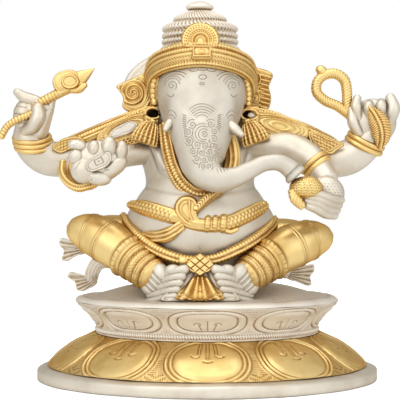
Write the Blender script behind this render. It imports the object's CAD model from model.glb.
"""Looks of a seated elephant-headed figure with four arms on a double lotus base, in plated brass.

Sizes are in millimetres. A point of the figure is given from the figure's own axis and the top of its seat,
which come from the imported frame, and a point of the base from the base's axis and its foot.
"""
import bpy
import numpy as np
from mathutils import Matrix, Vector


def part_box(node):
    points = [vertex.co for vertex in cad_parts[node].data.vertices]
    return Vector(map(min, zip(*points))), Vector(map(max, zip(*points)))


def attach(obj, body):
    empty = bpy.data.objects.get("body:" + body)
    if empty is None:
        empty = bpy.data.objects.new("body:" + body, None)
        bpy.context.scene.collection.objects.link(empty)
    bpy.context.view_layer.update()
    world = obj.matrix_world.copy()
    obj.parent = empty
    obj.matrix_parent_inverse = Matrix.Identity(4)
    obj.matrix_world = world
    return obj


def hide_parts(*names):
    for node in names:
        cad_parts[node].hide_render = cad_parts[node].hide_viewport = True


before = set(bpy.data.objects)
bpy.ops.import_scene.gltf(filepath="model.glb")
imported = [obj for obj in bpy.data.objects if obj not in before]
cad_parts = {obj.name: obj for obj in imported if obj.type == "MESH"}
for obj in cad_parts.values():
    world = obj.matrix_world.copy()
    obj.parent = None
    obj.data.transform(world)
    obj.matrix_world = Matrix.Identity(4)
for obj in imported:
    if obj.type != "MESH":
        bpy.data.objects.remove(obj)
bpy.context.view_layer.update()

MM = 0.001
PI = np.pi


def span(node):
    """Lowest and highest corner of a node in millimetres."""
    low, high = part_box(node)
    return np.array(low) / MM, np.array(high) / MM


SEAT = span("seat_plate")[1][2]
AXIS = (span("crown_finial")[0][0] + span("crown_finial")[1][0]) / 2
FIGURE = np.array([AXIS, 0, SEAT])
BASE = np.zeros(3)
SIDES = (("right", -1), ("left", 1))
ACROSS = (1, 0, 0)
INWARD = (0, 1, 0)
UP = (0, 0, 1)
CAP_ROWS = 8        # rows of each rounded end of a limb
THINNEST = 0.05     # smallest half size of a section
HOLLOW_DEPTH = 0.34    # depth below the neighbours at which the patina is full
PATINA_REACH = 1.0     # distance over which neighbours are compared


# ---------------------------------------------------------------- curves and grids

def unit(vectors):
    """Vectors divided by their own length."""
    return vectors / np.maximum(np.linalg.norm(vectors, axis=-1, keepdims=True), 1e-9)


class Grid:
    """A surface's points in rows and columns, with the measures that its relief is drawn from.

    Full is the share of the relief that a point takes. A grid with loop set closes by rows too.
    """

    def __init__(self, points, full=1, loop=False, **measures):
        self.points, self.full, self.loop = points, full, loop
        self.x, self.z = points[..., 0], points[..., 2]
        vars(self).update(measures)


def travel(points):
    """Length of the way along a line of points, up to each of them."""
    return np.concatenate([[0], np.cumsum(np.linalg.norm(np.diff(points, axis=0), axis=1))])


def smooth(stations, count, loop=False, shares=None):
    """Curve through stations: Hermite cubics whose slope at a station is the chord between its neighbours.

    The curve is read at even shares of its chord length, or at the shares given.
    """
    data = np.asarray(stations, float)
    if loop:
        data = np.vstack([data[-2:], data, data[:3]])
    place = min(3, data.shape[1])
    gaps = np.linalg.norm(np.diff(data[:, :place], axis=0), axis=1) + 1e-6
    knots = np.concatenate([[0], np.cumsum(gaps)])
    slopes = np.gradient(data, knots, axis=0)
    if loop:
        at = np.linspace(knots[2], knots[-3], count, endpoint=False)
    else:
        at = (np.linspace(0, 1, count) if shares is None else shares) * knots[-1]
    cell = np.clip(np.searchsorted(knots, at, side="right") - 1, 0, len(gaps) - 1)
    step = gaps[cell][:, None]
    t = ((at - knots[cell]) / gaps[cell])[:, None]
    start, end = data[cell], data[cell + 1]
    return (start * (2 * t**3 - 3 * t**2 + 1) + end * (3 * t**2 - 2 * t**3)
        + slopes[cell] * step * (t**3 - 2 * t**2 + t) + slopes[cell + 1] * step * (t**3 - t**2))


def contour(pairs, count, loop=False):
    """Smooth curve through pairs in a plane."""
    return smooth([(*pair, 0) for pair in pairs], count, loop)[:, :2]


def bearings(columns, gather=0.0):
    """Angles of the columns round a section, drawn together towards angle 0 by gather."""
    angle = np.linspace(-PI, PI, columns, endpoint=False)
    return angle - gather * np.sin(angle)


def held(values):
    """Values of a path's rows, kept on as they are over the rows of both caps."""
    return np.pad(values, ((CAP_ROWS, CAP_ROWS),) + ((0, 0),) * (values.ndim - 1), mode="edge")


def capped(centre, along, first, last):
    """Path with its caps, and the share of its full size that each section has.

    Over a cap the sections shrink as the sine of an angle while the path runs on by its cosine times a bulge.
    """
    turn = np.linspace(0, PI / 2, CAP_ROWS + 1)[:-1]
    full = np.concatenate([np.sin(turn), np.ones(len(centre)), np.sin(turn[::-1])])
    lead = np.outer(np.cos(turn), along[0]) * -first
    tail = np.outer(np.cos(turn[::-1]), along[-1]) * last
    return np.vstack([centre[0] + lead, centre, centre[-1] + tail]), full


def tube(stations, rows=60, columns=40, side=UP, caps=(1.0, 1.0), gather=0.0):
    """Grid of a limb: oval sections carried along a smooth path, and its run, angle and fullness.

    A station is (x, y, z, half width, half thickness); the half width lies along the side direction.
    A point is centre + width * cos(angle) * side + thickness * sin(angle) * the third direction.
    The caps give each end's bulge as a share of its half thickness.
    """
    line = smooth([(*s[:3], s[3], s[-1]) for s in stations], rows)
    centre, wide, thin = line[:, :3], np.maximum(line[:, 3], THINNEST), np.maximum(line[:, 4], THINNEST)
    along = unit(np.gradient(centre, axis=0))
    run = held(travel(centre))
    centre, full = capped(centre, along, thin[0] * caps[0], thin[-1] * caps[1])
    along = held(along)
    across = np.tile(np.array(side, float), (len(centre), 1))
    across = unit(across - along * np.sum(across * along, axis=1, keepdims=True))
    third = np.cross(along, across)
    angle = bearings(columns, gather)
    off = (held(wide) * full)[:, None] * np.cos(angle)
    up = (held(thin) * full)[:, None] * np.sin(angle)
    points = centre[:, None] + off[..., None] * across[:, None] + up[..., None] * third[:, None]
    return Grid(points, full[:, None], run=run[:, None], angle=angle[None], off=off, up=up)


def swept(stations, columns, gather, shares, caps=(0.3, 0.1)):
    """Grid of a body whose oval sections each lie between a point of a front line and a point of a back line.

    A station is (front x, y, z, back x, y, z, half width). A point is the middle of the two, plus half their
    difference times cos(angle), plus the half width times sin(angle) square to the path.
    """
    line = smooth(stations, 0, shares=shares)
    centre, half, wide = (line[:, :3] + line[:, 3:6]) / 2, (line[:, :3] - line[:, 3:6]) / 2, line[:, 6]
    along = unit(np.gradient(centre, axis=0))
    third = unit(np.cross(along, half))
    run = held(travel(line[:, :3]))
    bulges = caps[0] * np.linalg.norm(half[0]), caps[1] * np.linalg.norm(half[-1])
    centre, full = capped(centre, along, *bulges)
    half, third, wide = held(half), held(third), held(wide)
    angle = bearings(columns, gather)
    points = (centre[:, None] + (full[:, None] * np.cos(angle))[..., None] * half[:, None]
        + ((full * wide)[:, None] * np.sin(angle))[..., None] * third[:, None])
    return Grid(points, full[:, None], run=run[:, None], angle=angle[None])


def turned(profile, columns, loop=False):
    """Grid of a turned body: (radius, height) pairs carried round the upright axis; angle 0 is the front."""
    profile = np.asarray(profile, float)
    angle = bearings(columns)[None]
    radius, level = profile[:, :1], profile[:, 1:2]
    points = np.stack([radius * np.sin(angle), -radius * np.cos(angle), level + 0 * angle], axis=-1)
    return Grid(points, loop=loop, angle=angle, radius=radius, climb=travel(profile)[:, None])


def leaf(outline, depth, thick, columns=160, rows=36, lean=(0, 0), hole=None, curl=0.0):
    """Grid of a flat ornament that faces the front, from a closed outline of (x, z).

    Points lie on rays from the middle of the outline, or from a hole's rim, to the outline. The front stands
    out by thick * sqrt(1 - t^6), where t is the share of the way to the edge, and the back is flat. Lean
    tilts the leaf by x and by z, and curl bends it back with the square of the distance from its middle.
    """
    edge = contour(outline, columns, loop=True)
    middle = edge.mean(axis=0) if hole is None else np.array(hole[:2], float)
    bearing = np.arctan2(edge[:, 1] - middle[1], edge[:, 0] - middle[0])
    inner = np.tile(middle, (columns, 1))
    if hole is not None:
        inner = inner + np.stack([hole[2] * np.cos(bearing), hole[3] * np.sin(bearing)], axis=1)
    t = np.linspace(0, 1, rows)
    share = np.concatenate([t, t[::-1][1:] if hole is None else t[::-1][1:-1]])
    front = np.concatenate([np.ones(rows), np.zeros(len(share) - rows)])[:, None]
    flat = inner[None] + share[:, None, None] * (edge - inner)[None]
    rim = np.sqrt(np.clip(1 - share**6, 0, 1))[:, None]
    if hole is not None:
        rim = rim * np.sqrt(np.clip(1 - (1 - np.minimum(share * 8, 1))**2, 0, 1))[:, None]
    off = flat - middle
    y = depth + lean[0] * off[..., 0] + lean[1] * off[..., 1] + curl * np.sum(off**2, axis=-1)
    y = y - thick * rim * np.where(front > 0, 1, -0.35)
    points = np.stack([flat[..., 0], y, flat[..., 1]], axis=-1)
    reach = np.linalg.norm(edge - inner, axis=1)[None]
    inset = (1 - share[:, None]) * reach
    return Grid(points, rim * front, hole is not None, inset=inset)


def egg(centre, sizes, rows=24, columns=32, tilt=0.0):
    """Grid of an egg-shaped mass with half sizes along X, Y and Z, tilted about Y by an angle."""
    level = np.linspace(0, PI, rows)[:, None]
    angle = bearings(columns)[None]
    x = sizes[0] * np.sin(level) * np.sin(angle)
    y = -sizes[1] * np.sin(level) * np.cos(angle)
    z = sizes[2] * np.cos(level) + 0 * angle
    points = np.stack([x * np.cos(tilt) + z * np.sin(tilt), y, z * np.cos(tilt) - x * np.sin(tilt)], axis=-1)
    return Grid(points + np.array(centre, float), np.sin(level) + 0 * angle, angle=angle)


def hoop(centre, normal, radius, wire, columns=14, rows=120, squeeze=1.0):
    """Grid of a ring: a small circle of the wire's radius carried round a circle square to the normal."""
    normal = unit(np.array(normal, float))
    first = unit(np.cross(normal, (0.0, 1.0, 0.0)))
    second = np.cross(normal, first)
    turn = np.linspace(0, 2 * PI, rows, endpoint=False)[:, None]
    angle = np.linspace(0, 2 * PI, columns, endpoint=False)[None]
    out = np.cos(turn)[..., None] * first + np.sin(turn)[..., None] * second * squeeze
    points = (np.array(centre, float) + out * (radius + wire * np.cos(angle))[..., None]
        + (wire * np.sin(angle))[..., None] * normal)
    return Grid(points, loop=True, turn=turn, angle=angle)


# ---------------------------------------------------------------- relief

def ridge(distance, half_width):
    """A rounded ridge: half of 1 + cosine of the distance, from 1 in the middle to 0 at the half width."""
    return 0.5 + 0.5 * np.cos(PI * np.clip(np.abs(distance) / half_width, 0, 1))


def step(value, low, high):
    """A smooth step: 0 below low, 1 above high, a cubic between."""
    t = np.clip((value - low) / (high - low), 0, 1)
    return t * t * (3 - 2 * t)


def ridges(value, places, half_width):
    """Sum of equal ridges, one at each place."""
    return sum(ridge(value - place, half_width) for place in places)


def saw(value, pitch):
    """Signed distance from the nearest of the lines that lie a pitch apart."""
    return value - pitch * np.round(value / pitch)


def beads(run, off, pitch, radius):
    """A row of half balls along a run, each a pitch from the next."""
    return np.sqrt(np.clip(1 - (saw(run, pitch)**2 + off**2) / radius**2, 0, 1))


def twist(run, off, pitch, lay=0.8):
    """Strands of a rope: a cosine of the run plus a share of the offset."""
    return 0.5 + 0.5 * np.cos(2 * PI * (run + lay * off) / pitch)


def near(points, curve, reach=1.5):
    """Distance of each grid point from a drawn curve in the plane of X and Z, on the front only."""
    flat = points[..., [0, 2]].reshape(-1, 2)
    distance = np.full(len(flat), 99.0)
    low, high = curve.min(axis=0) - reach, curve.max(axis=0) + reach
    close = np.all((flat > low) & (flat < high), axis=1)
    if close.any():
        gaps = np.linalg.norm(flat[close][:, None] - curve[None], axis=2)
        distance[close] = gaps.min(axis=1)
    return distance.reshape(points.shape[:2])


def arc(x, z, radius, start, end, squash=1.0, count=40):
    """Points of an arc in the plane of X and Z; angles in degrees from +X towards +Z."""
    angle = np.radians(np.linspace(start, end, count))
    return np.stack([x + radius * np.cos(angle), z + radius * squash * np.sin(angle)], axis=1)


def spiral(x, z, inner, outer, start, turns, count=90):
    """Points of a spiral whose radius grows evenly with its angle."""
    t = np.linspace(0, 1, count)
    angle = np.radians(start) + 2 * PI * turns * t
    radius = inner + (outer - inner) * t
    return np.stack([x + radius * np.cos(angle), z + radius * np.sin(angle)], axis=1)


def line(*points):
    """Points along straight runs in the plane of X and Z."""
    points = np.asarray(points, float)
    runs = [points[i] + (points[i + 1] - points[i]) * np.linspace(0, 1, 24)[:, None]
        for i in range(len(points) - 1)]
    return np.vstack(runs)


def engraved(points, curves, width=0.55, lip=0.0):
    """Sum of grooves along curves, each one deep in its middle, with a raised lip beside it."""
    cut = np.zeros(points.shape[:2])
    rise = np.zeros(points.shape[:2])
    for curve in curves:
        distance = near(points, curve)
        cut = np.maximum(cut, ridge(distance, width))
        rise = np.maximum(rise, ridge(distance - 1.6 * width, width))
    return cut - lip * rise * (1 - cut)


def cavity(height, loop, reach):
    """How far each point lies below the mean of its neighbours, as a share of a third of a millimetre."""
    mean = height
    for axis, size in ((0, reach[0]), (1, reach[1])):
        total = np.zeros_like(mean)
        for shift in range(-size, size + 1):
            moved = np.roll(mean, shift, axis)
            if axis == 0 and not loop and shift:
                edge = slice(0, shift) if shift > 0 else slice(shift, None)
                moved[edge] = mean[edge]
            total += moved
        mean = total / (2 * size + 1)
    return np.clip((mean - height) / HOLLOW_DEPTH, 0, 1)


# ---------------------------------------------------------------- meshes

def shell(grid, height=0.0, stain=0.0, origin=FIGURE):
    """Vertices, faces and patina of a grid whose points move out along its normal by the height."""
    points, loop = grid.points, grid.loop
    height = np.broadcast_to(height * grid.full, points.shape[:2]).astype(float)
    across = np.roll(points, -1, 1) - np.roll(points, 1, 1)
    down = np.roll(points, -1, 0) - np.roll(points, 1, 0) if loop else np.gradient(points, axis=0)
    area = np.cross(down, across)
    sign = np.sign(np.sum((points - points.mean(axis=(0, 1))) * area))
    row_step = np.median(np.linalg.norm(down, axis=-1)) / (2 if loop else 1) + 1e-6
    column_step = np.median(np.linalg.norm(across, axis=-1)) / 2 + 1e-6
    reach = [int(np.clip(round(PATINA_REACH / gap), 1, 8)) for gap in (row_step, column_step)]
    dark = np.clip(cavity(height, loop, reach) + stain, 0, 1)
    points = points + unit(area) * sign * height[..., None] + origin
    rows, columns = height.shape
    j = np.arange(columns)
    k = (j + 1) % columns
    if loop:
        i = np.arange(rows)[:, None]
        n = (i + 1) % rows
        quads = np.stack([i * columns + j, n * columns + j, n * columns + k, i * columns + k],
            -1).reshape(-1, 4)
        verts, shade = points.reshape(-1, 3), dark.reshape(-1)
        fans = np.zeros((0, 3), int)
    else:
        body = points[1:-1].reshape(-1, 3)
        verts = np.vstack([points[0].mean(axis=0), body, points[-1].mean(axis=0)])
        shade = np.concatenate([[dark[0].mean()], dark[1:-1].reshape(-1), [dark[-1].mean()]])
        i = np.arange(rows - 3)[:, None]
        quads = (1 + np.stack([i * columns + j, (i + 1) * columns + j, (i + 1) * columns + k,
            i * columns + k], -1))
        quads = quads.reshape(-1, 4)
        last = 1 + (rows - 3) * columns
        end = len(verts) - 1
        fans = np.vstack([np.stack([0 * j, 1 + j, 1 + k], -1),
            np.stack([last + j, end + 0 * j, last + k], -1)])
    if sign < 0:
        quads, fans = quads[:, ::-1], fans[:, ::-1]
    return verts * MM, quads, fans, shade


def piece(name, material, nodes, shells):
    """One object from closed shells. It rides on the statue and stands for its CAD nodes."""
    verts, quads, fans, shade, total = [], [], [], [], 0
    for part in shells:
        verts.append(part[0])
        quads.append(part[1] + total)
        fans.append(part[2] + total)
        shade.append(part[3])
        total += len(part[0])
    verts, quads, fans = np.vstack(verts), np.vstack(quads), np.vstack(fans)
    mesh = bpy.data.meshes.new(name)
    mesh.vertices.add(len(verts))
    mesh.vertices.foreach_set("co", verts.ravel())
    corners = np.concatenate([quads.ravel(), fans.ravel()]).astype(np.int32)
    starts = np.concatenate([np.arange(len(quads)) * 4, len(quads) * 4 + np.arange(len(fans)) * 3])
    mesh.loops.add(len(corners))
    mesh.loops.foreach_set("vertex_index", corners)
    mesh.polygons.add(len(starts))
    mesh.polygons.foreach_set("loop_start", starts.astype(np.int32))
    mesh.update(calc_edges=True)
    mesh.polygons.foreach_set("use_smooth", np.ones(len(starts), bool))
    patina = mesh.attributes.new("patina", "FLOAT", "POINT")
    patina.data.foreach_set("value", np.concatenate(shade).astype(np.float32))
    mesh.validate()
    item = bpy.data.objects.new(name, mesh)
    bpy.context.scene.collection.objects.link(item)
    item.data.materials.append(material)
    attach(item, "root")
    if nodes:
        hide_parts(*nodes)
    return item


# ---------------------------------------------------------------- finishes

def new_group(name, inputs, outputs):
    """An empty node group with named sockets."""
    group = bpy.data.node_groups.new(name, "ShaderNodeTree")
    for label, kind, value in inputs:
        socket = group.interface.new_socket(label, in_out="INPUT", socket_type=kind)
        socket.default_value = value
    for label, kind in outputs:
        group.interface.new_socket(label, in_out="OUTPUT", socket_type=kind)
    return group, group.nodes.new("NodeGroupInput"), group.nodes.new("NodeGroupOutput")


def math_node(tree, operation, first, second, clamp=False):
    """A Math node of two values or sockets."""
    node = tree.nodes.new("ShaderNodeMath")
    node.operation = operation
    node.use_clamp = clamp
    for socket, value in zip(node.inputs, (first, second)):
        if isinstance(value, (int, float)):
            socket.default_value = value
        else:
            tree.links.new(value, socket)
    return node.outputs[0]


def noise_node(tree, vector, scale, detail=4.0):
    """A noise of a scale on object coordinates."""
    node = tree.nodes.new("ShaderNodeTexNoise")
    node.inputs["Scale"].default_value = scale
    node.inputs["Detail"].default_value = detail
    tree.links.new(vector, node.inputs["Vector"])
    return node.outputs["Fac"]


def mix_node(tree, factor, first, second):
    """A colour Mix node."""
    node = tree.nodes.new("ShaderNodeMix")
    node.data_type = "RGBA"
    for index, value in ((0, factor), (6, first), (7, second)):
        if isinstance(value, (int, float, tuple)):
            node.inputs[index].default_value = value
        else:
            tree.links.new(value, node.inputs[index])
    return node.outputs[2]


def plated_group():
    """Plated cast metal: bright plating, brown patina in hollows, cloudy tarnish and a fine cast grain."""
    group, given, out = new_group("plated_cast",
        [("Hollow", "NodeSocketFloat", 0.0), ("Shade", "NodeSocketFloat", 1.0),
        ("Plating", "NodeSocketColor", (0.8, 0.75, 0.7, 1)),
        ("Tarnish", "NodeSocketColor", (0.6, 0.5, 0.4, 1)),
        ("Patina", "NodeSocketColor", (0.2, 0.15, 0.1, 1)), ("Cloud", "NodeSocketFloat", 0.5),
        ("Polish", "NodeSocketFloat", 0.25)],
        [("Color", "NodeSocketColor"), ("Roughness", "NodeSocketFloat"), ("Height", "NodeSocketFloat")])
    place = group.nodes.new("ShaderNodeTexCoord").outputs["Object"]
    cloud = noise_node(group, place, 55, 5)
    blotch = noise_node(group, place, 260, 3)
    grain = noise_node(group, place, 1500, 2)
    cloudy = math_node(group, "MULTIPLY", math_node(group, "SUBTRACT", cloud, 0.42), 3.0, True)
    cloudy = math_node(group, "MULTIPLY", cloudy, given.outputs["Cloud"])
    base = mix_node(group, cloudy, given.outputs["Plating"], given.outputs["Tarnish"])
    closed = math_node(group, "MULTIPLY", math_node(group, "SUBTRACT", 0.72, given.outputs["Shade"]), 1.3,
        True)
    closed = math_node(group, "MULTIPLY", closed, math_node(group, "ADD", 0.55, blotch))
    hollow = math_node(group, "MULTIPLY", given.outputs["Hollow"], math_node(group, "ADD", 0.5, blotch))
    dark = math_node(group, "ADD", closed, hollow, True)
    group.links.new(mix_node(group, dark, base, given.outputs["Patina"]), out.inputs["Color"])
    rough = math_node(group, "ADD", given.outputs["Polish"], math_node(group, "MULTIPLY", dark, 0.25))
    rough = math_node(group, "ADD", rough,
        math_node(group, "MULTIPLY", math_node(group, "SUBTRACT", blotch, 0.5), 0.16))
    group.links.new(rough, out.inputs["Roughness"])
    bumps = math_node(group, "ADD", math_node(group, "MULTIPLY", grain, 0.35), blotch)
    group.links.new(bumps, out.inputs["Height"])
    return group


plated_cast = plated_group()


EDGE_TONE = 0.4         # share of patina where a surface is seen edge on


def metal(name, slot, plating, tarnish, patina, polish, cloud=0.5, metallic=1.0, shade_reach=0.005,
        grain=0.06):
    """A metal finish: the plated group feeds a Principled shader.

    The base colour goes towards the patina where surfaces close in, and a little where they turn away.
    """
    material = bpy.data.materials.new(name)
    material.use_nodes = True
    tree = material.node_tree
    shader = tree.nodes["Principled BSDF"]
    shader.inputs["Metallic"].default_value = metallic
    finish = tree.nodes.new("ShaderNodeGroup")
    finish.node_tree = plated_cast
    for label, value in (("Plating", plating), ("Tarnish", tarnish), ("Patina", patina)):
        finish.inputs[label].default_value = (*value, 1)
    finish.inputs["Cloud"].default_value = cloud
    finish.inputs["Polish"].default_value = polish
    hollow = tree.nodes.new("ShaderNodeAttribute")
    hollow.attribute_name = "patina"
    tree.links.new(hollow.outputs["Fac"], finish.inputs["Hollow"])
    closing = tree.nodes.new("ShaderNodeAmbientOcclusion")
    closing.samples = 4
    closing.inputs["Distance"].default_value = shade_reach
    tree.links.new(closing.outputs["AO"], finish.inputs["Shade"])
    bump = tree.nodes.new("ShaderNodeBump")
    bump.inputs["Strength"].default_value = grain
    bump.inputs["Distance"].default_value = 0.0004
    tree.links.new(finish.outputs["Height"], bump.inputs["Height"])
    glance = tree.nodes.new("ShaderNodeLayerWeight")
    glance.inputs["Blend"].default_value = 0.5
    rim = math_node(tree, "MULTIPLY", math_node(tree, "POWER", glance.outputs["Facing"], 3.0), EDGE_TONE)
    toned = mix_node(tree, rim, finish.outputs["Color"], tuple(1.25 * share for share in patina) + (1,))
    tree.links.new(toned, shader.inputs["Base Color"])
    shader.inputs["Specular Tint"].default_value = tuple(0.35 + 0.65 * share for share in tarnish) + (1,)
    tree.links.new(finish.outputs["Roughness"], shader.inputs["Roughness"])
    tree.links.new(bump.outputs["Normal"], shader.inputs["Normal"])
    material["slot"] = slot
    return material


SILVER = metal("silver_plate", "silver", (0.79, 0.73, 0.625), (0.60, 0.52, 0.40), (0.29, 0.235, 0.17), 0.45,
    0.8, 0.85)
SATIN = metal("silver_satin", "silver", (0.84, 0.79, 0.705), (0.73, 0.67, 0.57), (0.33, 0.255, 0.17), 0.52,
    0.7, 0.45)
PALE = metal("silver_pale", "silver", (0.86, 0.81, 0.715), (0.79, 0.72, 0.61), (0.42, 0.29, 0.15), 0.48,
    0.6, 0.3, 0.003)
SOFT = metal("silver_soft", "silver", (0.75, 0.705, 0.61), (0.63, 0.56, 0.445), (0.29, 0.235, 0.17), 0.5,
    0.8, 0.6)
HEAD = metal("silver_head", "silver", (0.70, 0.655, 0.565), (0.585, 0.515, 0.405), (0.29, 0.235, 0.17), 0.5,
    0.8, 0.6)
GOLD = metal("gold_plate", "gold", (0.93, 0.70, 0.30), (0.83, 0.57, 0.20), (0.40, 0.185, 0.04), 0.36,
    grain=0.20)
WORN = metal("gold_worn", "gold", (0.88, 0.655, 0.285), (0.66, 0.43, 0.145), (0.34, 0.155, 0.03), 0.37, 1.0)
HOLLOW = metal("deep_hollow", "silver", (0.085, 0.07, 0.055), (0.06, 0.048, 0.038), (0.03, 0.024, 0.018), 0.6)
BRASS = metal("bare_brass", "bare_brass", (0.62, 0.46, 0.22), (0.42, 0.30, 0.14), (0.14, 0.09, 0.04), 0.38)
STEEL = metal("plain_steel", "steel", (0.50, 0.50, 0.50), (0.36, 0.35, 0.34), (0.10, 0.09, 0.08), 0.34)


# ---------------------------------------------------------------- base

LOWER_PETALS = 10
UPPER_PETALS = 9
COLLAR_BEADS = 260


def petal_ring(outer, rows, inner, low_fade, high_fade):
    """Grid of a closed ring, its climb, the length of its outer side, and a mask that fades at its ends."""
    grid = turned(np.vstack([contour(outer, rows), inner]), 1000, loop=True)
    climb = grid.climb
    length = climb[rows - 1]
    seen = step(climb, 0, low_fade) * step(length - climb, 0, high_fade)
    seen[rows:] = 0
    return grid, climb, length, seen


def petal_shape(grid, middle, reach, petals, half_angle, power):
    """Distance in from a petal's edge, and offset from its midline, for petals spaced round the base.

    A petal is a rounded oval: the power mean of the offset and the climb, each over its half size.
    """
    turn = 2 * PI / petals
    off = saw(grid.angle, turn) * grid.radius
    half = half_angle * grid.radius
    q = ((np.abs(off) / half)**power + (np.abs(grid.climb - middle) / reach)**power)**(1 / power)
    return (1 - q) * np.minimum(half, reach), off


def make_foot():
    """Broad foot ring with a soft top bevel, a little uneven as a hand-finished casting is."""
    radius, _, top = span("foot_ring")[1]
    lotus = span("lower_lotus")[1][0]
    inner = span("base_cover")[1][0] + 0.3
    section = [(inner, 0), (radius - 0.8, 0), (radius - 0.15, 0.25), (radius, 1), (radius, 3.2),
        (radius, 5.6), (radius - 0.35, 6.4), (radius - 1.4, 7.0), (radius - 3.4, 7.7), (lotus, top),
        (lotus - 3, top), (inner, top), (inner, top * 0.4)]
    grid = turned(section, 480, loop=True)
    wave = 0.12 * np.sin(5 * grid.angle + 1) + 0.08 * np.sin(17 * grid.angle)
    piece("foot_rim", SILVER, ["foot_ring"], [shell(grid, wave - 0.15, origin=BASE)])


def make_lower_lotus():
    """Gold ring of broad petals with double rims and engraved strokes, and hatching in the gaps."""
    low, high = span("lower_lotus")
    bottom, top, wide = low[2], high[2], high[0]
    neck = span("bead_collar")[1][0]
    grid, climb, length, seen = petal_ring([(wide, bottom), (wide - 3.2, bottom + 3.6),
        (wide - 8.6, bottom + 8.2), (wide - 16.4, bottom + 13.4), (neck + 5, top - 2.4), (neck, top)], 80,
        [(neck - 4, top), (neck - 6, top - 3), (wide - 8, bottom)], 1.6, 1.2)
    inset, off = petal_shape(grid, 0.50 * length, 0.60 * length, LOWER_PETALS, np.radians(16.6), 2.3)
    inside = step(inset, 0.1, 0.7)
    rims = 0.85 * ridge(inset - 1.1, 1.1) + 0.75 * ridge(inset - 3.3, 0.95)
    field = 0.42 * step(inset, 4.2, 7.5) - 0.22 * ridge(inset - 4.5, 0.6)
    top_side = length - climb
    strokes = 0
    for across, deep in ((-3.4, 14.5), (0, 18.5), (3.4, 14.5)):
        slant = off - across * (1 + 0.03 * top_side)
        line_pair = np.maximum(ridge(slant - 0.75, 0.5), ridge(slant + 0.75, 0.5))
        strokes = np.maximum(strokes, line_pair * step(deep - top_side, 0, 1.2) * step(top_side, 1.2, 2))
    curls = ridge(np.hypot(off, top_side - 17.5) - 3.4, 0.6) * (top_side > 19.4)
    for across in (-6.6, 6.6):
        curls = np.maximum(curls, ridge(np.hypot(off - across, top_side - 14.6) - 2.4, 0.55)
            * (top_side > 14.9))
    hatch = ridge(saw(climb, 1.35), 0.45) * step(-inset, 0.5, 0.9) * step(3.6 + inset, 0, 0.8)
    fan = ridge(saw(off, 1.3), 0.4) * step(-inset, 0.6, 1.0) * step(6.5 - climb, 0, 1)
    height = (rims + field + 0.4 * inside - 0.7 * strokes - 0.6 * curls
        - 0.5 * np.maximum(hatch * (climb > 5), fan))
    gaps = step(-inset, 0.2, 1.2) * 0.16 * seen
    piece("lower_petals", WORN, ["lower_lotus"], [shell(grid, height * seen - 0.3, gaps, BASE)])


def make_collar():
    """Thin silver collar with one close row of beads."""
    low, high = span("bead_collar")
    radius, bottom, top = high[0], low[2], high[2] - 0.4
    section = [(radius - 7, bottom), (radius - 0.4, bottom)]
    rise = np.linspace(bottom + 0.2, top - 0.2, 14)
    section += [(radius - 0.1, level) for level in rise] + [(radius - 0.4, top), (radius - 7, top)]
    grid = turned(section, 1560, loop=True)
    level = grid.z
    run = grid.angle * radius
    pitch = 2 * PI * radius / COLLAR_BEADS
    row = beads(run + 0.25 * (level - bottom), (level - (bottom + 2.5)) * 0.66, pitch, 0.8)
    outer = grid.radius > radius - 0.3
    piece("bead_row", PALE, ["bead_collar"], [shell(grid, 0.85 * row * outer, 0, BASE)])


def make_upper_lotus():
    """Silver ring of flat-topped petals that flares up to the lip, with double engraved rims."""
    low, high = span("upper_lotus")
    bottom, top, lip = low[2] - 0.8, high[2] + 1.9, high[0]
    neck = span("bead_collar")[1][0] - 0.4
    grid, climb, length, seen = petal_ring([(neck, bottom), (neck + 1.8, bottom + 3.2),
        (neck + 4.8, bottom + 7.4), (lip - 3.2, top - 3.6), (lip - 0.8, top - 1.0), (lip, top)], 64,
        [(lip - 6, top), (neck - 4, bottom + 3), (neck - 5, bottom)], 1.0, 1.0)
    spread = 1.08 - 0.20 * np.clip(climb / length, 0, 1)**2
    inset, off = petal_shape(grid, 0.46 * length, 0.50 * length, UPPER_PETALS, np.radians(18.2) * spread, 2.8)
    lines = np.maximum(ridge(inset - 0.5, 0.5), ridge(inset - 2.7, 0.5))
    band = 0.35 * step(inset, 0.6, 1.1) * step(2.7 - inset, 0, 0.5)
    field = 0.5 * step(inset, 3.0, 6.0)
    strokes = 0
    for across, deep in ((-3.4, 5.6), (0, 8.2), (3.4, 5.6)):
        slant = off - across - 0.12 * across * (climb - 3)
        strokes = np.maximum(strokes, ridge(slant, 0.55) * step(deep - (climb - 2.2), 0, 1.0) * (climb > 2.6))
    curls = 0
    for across in (-5.8, 5.8):
        curls = np.maximum(curls, ridge(np.hypot(off - across, climb - 6.4) - 1.9, 0.5) * (climb > 6.6))
    side = saw(grid.angle + PI / UPPER_PETALS, 2 * PI / UPPER_PETALS) * grid.radius
    stipple = beads(side, saw(climb, 1.5), 1.5, 0.55) * step(-inset, 0.5, 0.9) * step(climb, 9, 10)
    veins = ridge(saw(side, 1.6), 0.4) * step(-inset, 0.8, 1.4) * step(9.5 - climb, 0, 1) * 0.5
    height = (band + field + 0.45 * stipple - 0.8 * lines - 0.75 * np.maximum(strokes, curls)
        - 0.6 * veins - 0.1)
    gaps = step(-inset, 0.3, 1.0) * 0.08 * seen
    piece("upper_petals", PALE, ["upper_lotus"], [shell(grid, height * seen, gaps, BASE)])


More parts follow.
